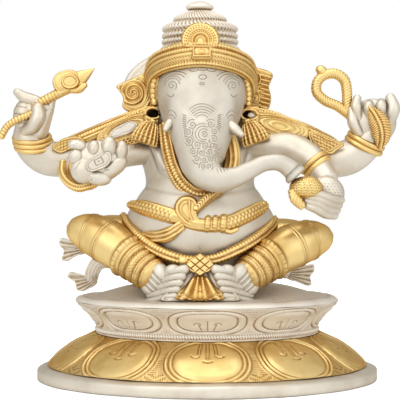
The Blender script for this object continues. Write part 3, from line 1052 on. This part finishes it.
def make_crown():
    """Silver crown of stacked rolls with upright hatching, its finial, and the gold band and plaque."""
    rolls = [(0, 128), (25, 128), (30.4, 133), (31.0, 135.6), (29.6, 138.6), (27.4, 142.4), (25.2, 145.6),
        (23.0, 148.6), (21.5, 149.8), (22.5, 150.8), (22.7, 152.0), (21.8, 153.0), (21.2, 153.5),
        (22.2, 154.2), (22.5, 155.4), (21.9, 156.5), (21.1, 157.1), (21.9, 157.8), (22.4, 159.2),
        (22.0, 160.7), (20.4, 161.8), (17.8, 162.8), (15.4, 163.5), (16.0, 164.2), (16.2, 165.1),
        (15.3, 166.3), (12.4, 168.1), (9.4, 169.5), (6.4, 170.5), (5.0, 170.8), (0, 171)]
    grid = turned(contour(rolls, 180), 400)
    level, angle = grid.z, grid.angle
    ticks = 0.45 * ridge(saw(angle + 0.03 * level, 2 * PI / CROWN_TICKS), 0.045)
    rims = ridges(level, (151.5, 155.0, 159.2, 164.9), 1.2)
    dots = sum(0.6 * beads(angle * 22.5, level - at, 2 * PI * 22.5 / CROWN_TICKS, 1.3)
        for at in (151.5, 155.0, 159.2))
    visible = step(level, 137, 139)
    piece("crown_rolls", PALE, ["crown_tiers"],
        [shell(grid, (dots - ticks * (1 - 0.5 * np.clip(rims, 0, 1))) * visible,
        (0.04 + 0.7 * ticks) * visible)])
    knob = [(0, 170.2), (4.6, 170.3), (6.2, 170.7), (7.9, 171.5), (8.4, 172.5), (7.9, 173.4), (6.2, 174.5),
        (4.0, 175.5), (2.0, 176.1), (0, 176.4)]
    grid = turned(contour(knob, 60), 120)
    piece("crown_knob", PALE, ["crown_finial"],
        [shell(grid, 0.12 * np.sin(3 * grid.angle) * step(grid.radius, 2, 4))])
    band = tube([(-31.5, 2, 122, 4.5, 2.6), (-30, -8, 130.5, 6.4, 3), (-25.2, -20, 136.2, 7.4, 3.2),
        (-14, -31, 139.8, 8, 3.4), (0.8, -35, 141.2, 8.2, 3.4), (15.6, -31, 139.2, 8, 3.4),
        (26.6, -20, 135, 7.4, 3.2), (31.2, -8, 128.6, 6.4, 3), (32.6, 2, 119, 4.5, 2.6)], rows=430,
        columns=80)
    off, run = band.off, band.run
    wide = (0.7 * ridge(off + 5.6, 1.2) + 0.5 * ridge(off + 2.4, 1.6) + 0.7 * ridge(off, 0.8)
        + 0.5 * ridge(off - 2.6, 1.4))
    wide = (wide + 0.8 * ridge(off - 5.6, 1.2)
        - 0.8 * ridge(saw(run + 0.9 * off, 1.6), 0.5) * (np.abs(off + 2.4) < 1.5))
    dots = (0.8 * beads(run, off + 5.6, 1.8, 0.9) + 0.7 * beads(run, off - 2.6, 1.5, 0.8)
        + 0.8 * beads(run, off - 5.6, 1.8, 0.9))
    piece("crown_brow_band", GOLD, ["crown_band"], [shell(band, 0.8 * (wide + dots - 0.5), 0.0)])
    plaque = leaf([(-5.0, 138.2), (-5.4, 143.4), (-9.6, 145.2), (-11.0, 149), (-10.0, 154), (-6.8, 157.8),
        (0.2, 159.8), (7.2, 157.8), (10.4, 154), (11.4, 149), (10, 145.2), (7.4, 143.4), (7.2, 138.2),
        (1.0, 137.4)], -33.5, 3.6, lean=(0, 0.34), columns=220, rows=60)
    x, z = plaque.x - 0.2, plaque.z
    away = np.hypot(x, z - 148.6)
    arches = sum(rise * ridge(away - at, half) for at, half,
        rise in ((2.6, 0.7, 0.7), (4.8, 0.8, 0.8), (7.2, 0.9, 0.9), (9.8, 0.9, 0.8)))
    turn = np.arctan2(x, z - 148.6)
    arches = (arches + 0.5 * beads(turn * 8.5, away - 8.5, 1.6, 0.8)
        + 0.3 * beads(turn * 6, away - 6.0, 1.3, 0.6))
    arches = (arches + 0.5 * beads(turn * 10.2, away - 10.6, 1.9, 0.9)) * step(z, 146.6, 147.2)
    box = np.maximum(np.abs(x - 0.8) - 4.9, np.abs(z - 142.4) - 3.0)
    jewel = 1.0 * ridge(box + 0.2, 0.8) + 1.0 * ridge(np.hypot(x - 0.8, (z - 142.4) * 1.4), 2.4)
    jewel = (jewel * step(146.6 - z, 0, 0.5)
        + 0.3 * ridge(saw(x, 1.6), 0.5) * step(z, 144.6, 145) * step(147 - z, 0, 0.4))
    piece("crown_front_plaque", GOLD, ["crown_plaque"], [shell(plaque, arches + jewel - 0.2, 0.02)])


# ---------------------------------------------------------------- arms and what they hold

def make_arms():
    """Smooth rounded arms: two raised at the back and two lowered in front."""
    arms = {"right_rear": [(-24, 3, 95, 12), (-40, 4, 94.6, 11.8), (-56, 4, 91, 11), (-72, 3.4, 85.4, 10.8),
        (-84, 2.6, 81.6, 10.6), (-93, 1.8, 83, 10.6), (-99.4, 0.6, 88.6, 10.5), (-102.4, -0.8, 95, 10),
        (-103, -2, 101, 8)], "left_rear": [(24, 3, 95, 12), (40, 4, 94.6, 11.8), (54, 4, 91.4, 11.2),
        (68, 3.4, 85.4, 10.8), (80, 2.6, 81.2, 10.6), (90, 1.6, 83.2, 10.6), (97, 0.4, 88.4, 10.2),
        (102, -1, 94.6, 9.4), (104, -2, 101, 8)],
        "right_front": [(-22, -3, 86, 7.6), (-34, -6, 85.4, 7.4), (-46, -11, 83, 7), (-56, -18, 79, 6.8),
        (-62.5, -27, 75, 6.8), (-65.5, -37, 72, 7.2)],
        "left_front": [(24, -4, 88, 8), (40, -8.5, 89.4, 8.8), (54, -13, 87.6, 9), (63.5, -17.5, 82.4, 8.6),
        (69.5, -22.5, 75.6, 8), (73, -28, 68, 7.6)]}
    for label, stations in arms.items():
        grid = tube(stations, rows=90, columns=56, side=INWARD, caps=(0.2, 0.5))
        soft = 0.12 * np.sin(0.35 * grid.run + 1.0) * np.sin(grid.angle * 2)
        piece(f"{label}_arm_skin", SILVER, [label + "_arm"], [shell(grid, soft)])


def make_bangles():
    """Ribbed rings round the wrists and the upper arm."""
    sets = {"right_rear": ([(-99.6, 0, 89.2, 10.5), (-100.2, -0.2, 91.9, 10.7), (-100.8, -0.4, 94.5, 10.4)],
        (0.0, -0.36, 0.94), 1.5), "left_rear": ([(98.2, 0, 89.8, 10.6), (99.6, -0.4, 92.6, 10.4)],
        (0.42, -0.22, 0.88), 1.7), "left_front": ([(66.8, -20.2, 78.8, 8.0), (68.8, -21.8, 76.2, 7.8)],
        (0.62, -0.22, -0.75), 1.7)}
    names = {"left_front": "left_front_armlet"}
    for label, (rings, normal, wire) in sets.items():
        parts = []
        for x, y, z, radius in rings:
            grid = hoop((x, y, z), normal, radius, wire, columns=20, rows=200)
            rope = 0.16 * ridge(saw(grid.turn * radius + grid.angle * 0.6, 1.3), 0.5)
            parts.append(shell(grid, rope))
        piece(f"{label}_rings", GOLD, [names.get(label, label + "_bangles")], parts)
    cuff = tube([(-79.2, -34, 78.5, 1.6, 1.6), (-78.6, -37, 71.6, 2.1, 2.2), (-74.8, -40, 66.6, 2.4, 2.6),
        (-69.2, -42, 64.2, 2.6, 2.8), (-62.3, -42, 66.2, 2.3, 2.6), (-56.8, -40, 69.6, 1.6, 1.8)], rows=150,
        columns=40, side=(0.3, 0, 1))
    inner = hoop((-66.0, -36, 72.6), (-0.25, -0.9, -0.35), 8.8, 1.8, columns=20, rows=200)
    pair = 0.5 * ridges(cuff.off, (-1.2, 1.2), 0.9) + 0.2 * ridge(saw(cuff.run, 1.3), 0.5)
    piece("right_front_rings", GOLD, ["right_front_bangles"], [shell(cuff, pair), shell(inner)])


def make_rear_hands():
    """Closed right hand with a bent index finger and upright thumb; left hand seen from its back."""
    right = [shell(egg((-100.5, -3.5, 106.5), (9.6, 8.0, 12.5))),
        shell(tube([(-103.5, -9, 98.0, 3.2), (-98.2, -12.0, 101.4, 4.4), (-95.6, -12.4, 106.4, 4.6),
        (-96, -11.6, 111.2, 3.8)], rows=36, columns=30, side=INWARD)),
        shell(tube([(-91.5, -6, 111.6, 3.4), (-98, -7, 115.4, 3.9), (-104.6, -6.4, 118.0, 3.6),
        (-109, -5, 121.2, 2.4)], rows=36, columns=30))]
    fingers = egg((-104.4, -4.6, 107.4), (7.2, 7.4, 9.6), 50, 60)
    x, z = fingers.x, fingers.z
    right.append(shell(fingers, -0.45 * ridge(saw(z + 0.2 * x, 4.8), 0.6)))
    right.append(shell(tube([(-97, -3, 97, 7.4, 6), (-93.6, -4, 105, 5.4, 5), (-90, -5.4, 112, 3.4, 3.4),
        (-87.6, -6.4, 116.4, 1.8)], rows=40, columns=36, side=INWARD)))
    piece("right_rear_hand_skin", SILVER, ["right_rear_hand"], right)
    palm = egg((103.2, -3.4, 103.6), (14.2, 7.0, 14.0), 40, 48)
    x, z = palm.x, palm.z
    creases = 0.4 * ridge(saw(x - 0.25 * z, 3.6), 0.5) * step(z, 106, 108) * step(100 - x, 0, 2)
    left = [shell(palm, -creases)]
    fingers = (((94.6, -6.5, 106), (92.6, -8.5, 113), (93.6, -6.5, 117.2), 3.2),
        ((100.4, -7.5, 107), (100.2, -9, 112.6), (101, -6.5, 114.2), 3.2),
        ((107, -7.5, 107), (107.4, -9, 113), (108, -6.5, 115.2), 3.2),
        ((112.4, -5.5, 104), (115, -7, 112), (113.6, -5.5, 117.4), 4.0))
    for start, middle, end, thick in fingers:
        left.append(shell(tube([(*start, thick), (*middle, thick), (*end, thick * 0.8)], rows=32,
            columns=28, side=ACROSS)))
    left.append(shell(tube([(95, -6, 97, 3.6), (91.2, -8, 103, 3.6), (90.4, -7, 110.4, 2.8)], rows=30,
        columns=26, side=ACROSS)))
    piece("left_rear_hand_skin", SILVER, ["left_rear_hand"], left)
    leafy = tube([(100.6, -11.5, 111.4, 1.6, 1.2), (103.8, -13, 106.4, 4.6, 1.8),
        (106.8, -13.2, 99.8, 5.9, 2.0), (107.6, -11.4, 93.2, 4.6, 1.8), (106.8, -9.4, 88.6, 2.0, 1.4)],
        rows=150, columns=60, side=ACROSS)
    off, run = leafy.off, leafy.run
    comb = (0.55 * ridge(saw(run - 0.35 * np.abs(off), 1.35), 0.5) * (1 - ridge(off, 1.6))
        - 0.6 * ridge(np.abs(off) - 1.4, 0.5))
    piece("hand_back_leaf", GOLD, ["hand_leaf"], [shell(leafy, comb + 0.9 * ridge(off, 1.2), 0.02)])


def make_goad():
    """Goad: ribbed bent handle, round boss in a crescent blade, and a spike."""
    handle = tube([(-117.4, -12, 95.0, 2.0), (-113.9, -12.3, 100.6, 2.0), (-107.8, -12.6, 104.6, 2.0),
        (-101, -11.5, 107.4, 2.1), (-97, -10.5, 110.6, 2.0)], rows=150, columns=26)
    turns = 0.3 * ridge(saw(handle.run, 1.9), 0.75)
    shaft = tube([(-98, -9, 112.6, 2.5), (-91, -8.5, 116.8, 2.7), (-84, -8, 120.4, 2.9),
        (-76.5, -8, 124, 3.1), (-71, -8, 126, 2.4)], rows=150, columns=30)
    rings = 0.35 * ridge(saw(shaft.run, 2.1), 0.8) * (1 - step(shaft.run, 15, 19))
    boss = leaf([(-82.4, 127), (-80.2, 130.6), (-76.6, 131.8), (-72.8, 130.2), (-71.2, 127), (-73, 123.8),
        (-77, 122.4), (-80.8, 123.6)], -11.5, 2.4, columns=90, rows=24)
    rim = 0.9 * ridge(boss.inset - 0.9, 0.8) - 0.4
    blade = leaf([(-87.5, 128.4), (-85.2, 131.9), (-81, 133.9), (-76, 134.3), (-71.9, 131.8),
        (-73.4, 127.6), (-80.6, 121.8), (-84.6, 121.2), (-87.2, 124.6)], -8.6, 3.2, columns=120, rows=34)
    spike = tube([(-74.5, -8, 127.6, 4.8, 3.0), (-70, -8, 130.2, 4.2, 2.6), (-66.2, -8, 132.7, 2.2, 1.6),
        (-62.9, -8, 135.2, 0.4, 0.4)], rows=40, columns=26, caps=(0.5, 0.6))
    knob = tube([(-75.5, -9, 122.4, 2.2), (-71.6, -9, 123, 2.6), (-68.6, -9, 125, 1.8)], rows=24, columns=22)
    piece("goad_gilded", GOLD, ["goad"], [shell(handle, turns), shell(shaft, rings), shell(boss, rim),
        shell(blade, 0.5 * ridge(blade.inset - 0.9, 0.8)), shell(spike), shell(knob)])


def make_noose():
    """Noose of ribbed rope: a round eye whose ends run together down into the hand, with a bud on top."""
    path = [(88.5, -5, 108.4, 3.0), (82, -5, 113, 2.9), (74.4, -5, 116.4, 2.9), (69.6, -5, 121.4, 2.9),
        (70, -5, 127.4, 2.9), (74.6, -5, 131.6, 2.9), (81, -5, 132.2, 3.0), (86, -5, 128.6, 3.1),
        (87.6, -5, 121.6, 3.0), (87.8, -5, 114, 2.9), (89, -5, 107.4, 2.8)]
    rope = tube(path, rows=360, columns=30, side=INWARD)
    lay = 0.26 * ridge(saw(rope.run + 0.5 * rope.up, 1.7), 0.6)
    bud = egg((72.4, -5, 134.2), (3.6, 3.4, 3.0), tilt=0.5)
    stem = tube([(89, -5, 109, 2.6), (92, -5, 105, 2.4), (95, -5, 102, 2)], rows=20, columns=20)
    piece("noose_rope", GOLD, ["noose"], [shell(rope, lay), shell(bud), shell(stem)])


def make_front_hands():
    """Right palm held up to face the front; left hand cupped under the sweets, by the trunk's tip."""
    palm = egg((-57.8, -45.2, 79.0), (14.4, 6.6, 12.0), 60, 64)
    fingers = [((-69.6, -47.0, 88.0), (5.6, 4, 3.3), 0.2), ((-70.2, -48.0, 81.6), (4.4, 3.8, 4.4), 0),
        ((-60.2, -48.0, 85.6), (4.0, 4.2, 5.2), 0), ((-51.8, -48.0, 86.6), (4.8, 4.2, 6.4), 0.08),
        ((-45, -46.6, 84.4), (4.0, 4, 6.4), 0.15), ((-65.6, -47.6, 74.0), (8.0, 5.0, 7.8), 0.5),
        ((-49.6, -47, 75.4), (9.4, 4.8, 5.2), -0.55), ((-58, -47.6, 70.0), (8, 4.6, 4.8), 0.2)]
    medal = leaf([(-64.4, 75.2), (-62.4, 79.4), (-56.6, 82.4), (-50.4, 83.8), (-49.6, 80.8), (-52, 76.4),
        (-57.6, 73.6), (-62.6, 73.2)], -52.6, 1.5, columns=110, rows=28)
    x, z = medal.x + 56.9, medal.z - 78.6
    along, over = x * 0.9 + z * 0.42, z * 0.9 - x * 0.42
    square = np.maximum(np.abs(along) / 1.4, np.abs(over))
    mark = 0.4 * ridge(square - 1.6, 0.4) + 0.3 * ridge(np.hypot(along, over) - 0.5, 0.5)
    rim = 0.4 * ridge(medal.inset - 0.6, 0.5) - 0.3 * ridge(medal.inset - 1.5, 0.4)
    lines = engraved(palm.points, [arc(-66, 70, 9, -60, 60), arc(-60, 71, 8, 20, 100)], 0.5)
    parts = [shell(palm, -0.3 * lines), shell(medal, rim - mark)]
    for centre, sizes, tilt in fingers:
        finger = egg(centre, sizes, 34, 44, tilt)
        creases = [arc(centre[0] + 2.4, centre[2] - 1, sizes[2] * 0.9, 120, 200),
            arc(centre[0] + 0.6, centre[2] - 1.5, sizes[2] * 0.8, 110, 190)]
        parts.append(shell(finger, -0.22 * engraved(finger.points, creases, 0.4)))
    piece("right_front_hand_skin", SILVER, ["right_front_hand"], parts)
    palm = egg((72.6, -35.5, 61.0), (10.6, 8.2, 10.0), 90, 104, 0.2)
    x, z = palm.x, palm.z
    grains = (ridge(np.hypot(saw(x + 1.1 * np.round(z / 1.7), 2.2), saw(z, 1.7)), 0.55) * step(z, 58, 60)
        * step(x, 66, 68))
    fist = [shell(palm, -0.4 * grains)]
    for number in range(4):
        level = 61.2 - 2.9 * number
        fist.append(shell(tube([(80.4 - 1.2 * number, -39.5, level - 4.2, 2.6),
            (74 - number, -44.5, level - 3.2, 2.8), (66.5, -47, level - 0.8, 2.7),
            (58.4 + number, -46.5, level + 1.2, 2.3)], rows=36, columns=26)))
    fist.append(shell(egg((69, -38, 55), (8, 6, 6))))
    piece("left_front_hand_skin", SILVER, ["left_front_hand"], fist)
    bowl = egg((60.3, -45.5, 64.0), (9.0, 7.6, 6.4), 90, 130)
    x, z = bowl.x, bowl.z
    run = bowl.angle * 9
    lumps = (0.6 * beads(run + 0.8 * (np.round(z / 1.5) % 2) + 0.5 * np.sin(z * 3),
        saw(z + 0.3 * np.sin(run * 1.7), 1.5), 1.7, 0.95))
    streak = tube([(53, -48, 62, 3, 2), (54, -49.4, 58, 3.2, 2), (57.6, -50, 53.5, 2.2, 1.6)], rows=40,
        columns=24, side=ACROSS)
    sweets = [shell(bowl, lumps), shell(streak, 0.3 * twist(streak.run, streak.off, 2.2))]
    piece("heap_of_sweets", GOLD, ["sweet_bowl"], sweets)


def make_straps():
    """Gold straps with beaded edges along the tops of the rear arms; each ends in a leaf."""
    right = tube([(-38, -6, 107.4, 4, 2.2), (-48, -6, 103.4, 5, 2.4), (-60, -6, 98.4, 5, 2.4),
        (-72, -5, 93.4, 4.6, 2.4), (-80, -4, 90, 4, 2.2), (-85.5, -3, 87.6, 2.6, 2)], rows=240, columns=40,
        side=(0.15, -0.62, -0.77))
    left = tube([(56, -6, 101.6, 4, 2.2), (64, -6, 98.2, 4.2, 2.4), (72, -5, 94.6, 3.6, 2.4),
        (79, -4, 91.6, 3, 2.2), (84.5, -3, 89.4, 2, 1.8)], rows=160, columns=40, side=(-0.15, -0.62, -0.77))
    for side, strap in (("right", right), ("left", left)):
        off, run = strap.off, strap.run
        edges = (0.7 * ridge(np.abs(off) - 3.0, 0.9)
            + 0.8 * ridge(off, 1.1) * (0.3 + 0.9 * beads(run, 0, 1.8, 0.9)))
        parts = [shell(strap, edges - 0.2, 0.05)]
        if side == "left":
            frond = leaf([(64, 97.6), (72, 95.4), (80, 92), (85.4, 89.6), (81.5, 86.4), (78.4, 84),
                (73, 86), (66, 89.6)], -9.2, 2.2, columns=140, rows=36, lean=(0, -0.2))
            rim = 0.8 * ridge(frond.inset - 1.0, 1.0) + 0.4 * ridge(frond.inset - 2.6, 0.6)
            slope, bare = 0.45, 3.0
        else:
            frond = leaf([(-88, 88), (-84, 92), (-77, 94.6), (-70, 94), (-67.4, 90.6), (-72, 88),
                (-78, 86.6), (-84, 84.8)], -8.4, 2.0, columns=120, rows=30, lean=(0, -0.2))
            rim = 0.7 * ridge(frond.inset - 1.0, 0.9)
            slope, bare = -0.4, 2.0
        rows = saw(frond.z + slope * frond.x, 1.9)
        rim = rim + 0.5 * beads(frond.x, rows, 1.9, 0.85) * step(frond.inset, bare, bare + 0.4)
        parts.append(shell(frond, rim - 0.2, 0.04))
        piece(f"{side}_strap_beaded", GOLD, [side + "_shoulder_strap"], parts)


def finish_hidden_nodes():
    """Metal for the CAD nodes that stay: the cover under the foot, the pins and the fastener."""
    finishes = {"base_cover": BRASS, "neck_pin": BRASS, "crown_pin": BRASS, "shoulder_pins": BRASS,
        "tie_stud": STEEL, "tie_washer": STEEL, "tie_nut": STEEL}
    for node, material in finishes.items():
        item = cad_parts[node]
        item.data.materials.clear()
        item.data.materials.append(material)


# ---------------------------------------------------------------- floor, light and camera

FLOOR_GLOW = 0.62       # light that only the camera sees, so that the lit floor meets the white background
AIM_HEIGHT = 0.11


def make_floor():
    """Plain white floor that keeps the statue's shadow and meets the white background."""
    mesh = bpy.data.meshes.new("floor")
    half = 3.0
    mesh.from_pydata([(-half, -half, 0), (half, -half, 0), (half, half, 0), (-half, half, 0)], [],
        [(0, 1, 2, 3)])
    floor = bpy.data.objects.new("floor", mesh)
    bpy.context.scene.collection.objects.link(floor)
    material = bpy.data.materials.new("white_floor")
    material.use_nodes = True
    tree = material.node_tree
    shader = tree.nodes["Principled BSDF"]
    shader.inputs["Base Color"].default_value = (0.9, 0.9, 0.9, 1)
    shader.inputs["Roughness"].default_value = 0.9
    shader.inputs["Emission Color"].default_value = (1, 1, 1, 1)
    seen = tree.nodes.new("ShaderNodeLightPath").outputs["Is Camera Ray"]
    tree.links.new(math_node(tree, "MULTIPLY", seen, FLOOR_GLOW), shader.inputs["Emission Strength"])
    floor.data.materials.append(material)


def make_light():
    """Large soft lamps and a white surround that the metal also mirrors, softer in front than behind."""
    world = bpy.data.worlds.new("white_surround")
    bpy.context.scene.world = world
    world.use_nodes = True
    tree = world.node_tree
    background = tree.nodes["Background"]
    paths = tree.nodes.new("ShaderNodeLightPath")
    direction = tree.nodes.new("ShaderNodeTexCoord")
    parts = tree.nodes.new("ShaderNodeSeparateXYZ")
    tree.links.new(direction.outputs["Generated"], parts.inputs[0])
    depth = tree.nodes.new("ShaderNodeMapRange")
    for label, value in (("From Min", -0.9), ("From Max", 0.7), ("To Min", 1.06), ("To Max", 0.60)):
        depth.inputs[label].default_value = value
    tree.links.new(parts.outputs["Y"], depth.inputs["Value"])
    strength = math_node(tree, "MAXIMUM", depth.outputs[0], paths.outputs["Is Camera Ray"])
    tree.links.new(strength, background.inputs["Strength"])
    background.inputs["Color"].default_value = (1, 1, 1, 1)
    lamps = (("key", (-0.6, -0.9, 0.75), 1.0, 2.7), ("fill", (0.8, -0.85, 0.35), 0.9, 1.2),
        ("top", (0.0, -0.1, 0.95), 0.8, 2.4))
    for name, place, size, power in lamps:
        data = bpy.data.lights.new(name, "AREA")
        data.shape = "SQUARE"
        data.size = size
        data.energy = power
        lamp = bpy.data.objects.new(name, data)
        lamp.location = place
        aim = np.array([AXIS * MM, 0, AIM_HEIGHT]) - np.array(place)
        level = np.hypot(aim[0], aim[1])
        lamp.rotation_euler = (np.arctan2(level, -aim[2]), 0, np.arctan2(-aim[0], aim[1]))
        bpy.context.scene.collection.objects.link(lamp)


def make_camera():
    """Level camera at the middle height of the statue, straight in front of the figure."""
    data = bpy.data.cameras.new("camera")
    camera = bpy.data.objects.new("camera", data)
    bpy.context.scene.collection.objects.link(camera)
    distance, width, height = 0.864, 0.240, 0.106
    camera.location = (AXIS * MM, -distance, height)
    camera.rotation_euler = (PI / 2, 0, 0)
    data.lens = data.sensor_width * distance / width
    data.dof.use_dof = False
    data.clip_start = 0.01
    bpy.context.scene.camera = camera
    bpy.context.scene.view_settings.view_transform = "Standard"


for make in (make_foot, make_lower_lotus, make_collar, make_upper_lotus, make_seat, make_torso, make_legs,
        make_feet, make_front_cloth, make_belts, make_sashes, make_head, make_ears, make_tassels,
        make_side_scrolls, make_disc, make_crown, make_arms, make_bangles, make_rear_hands, make_goad,
        make_noose, make_front_hands, make_straps, finish_hidden_nodes, make_floor, make_light,
        make_camera):
    make()
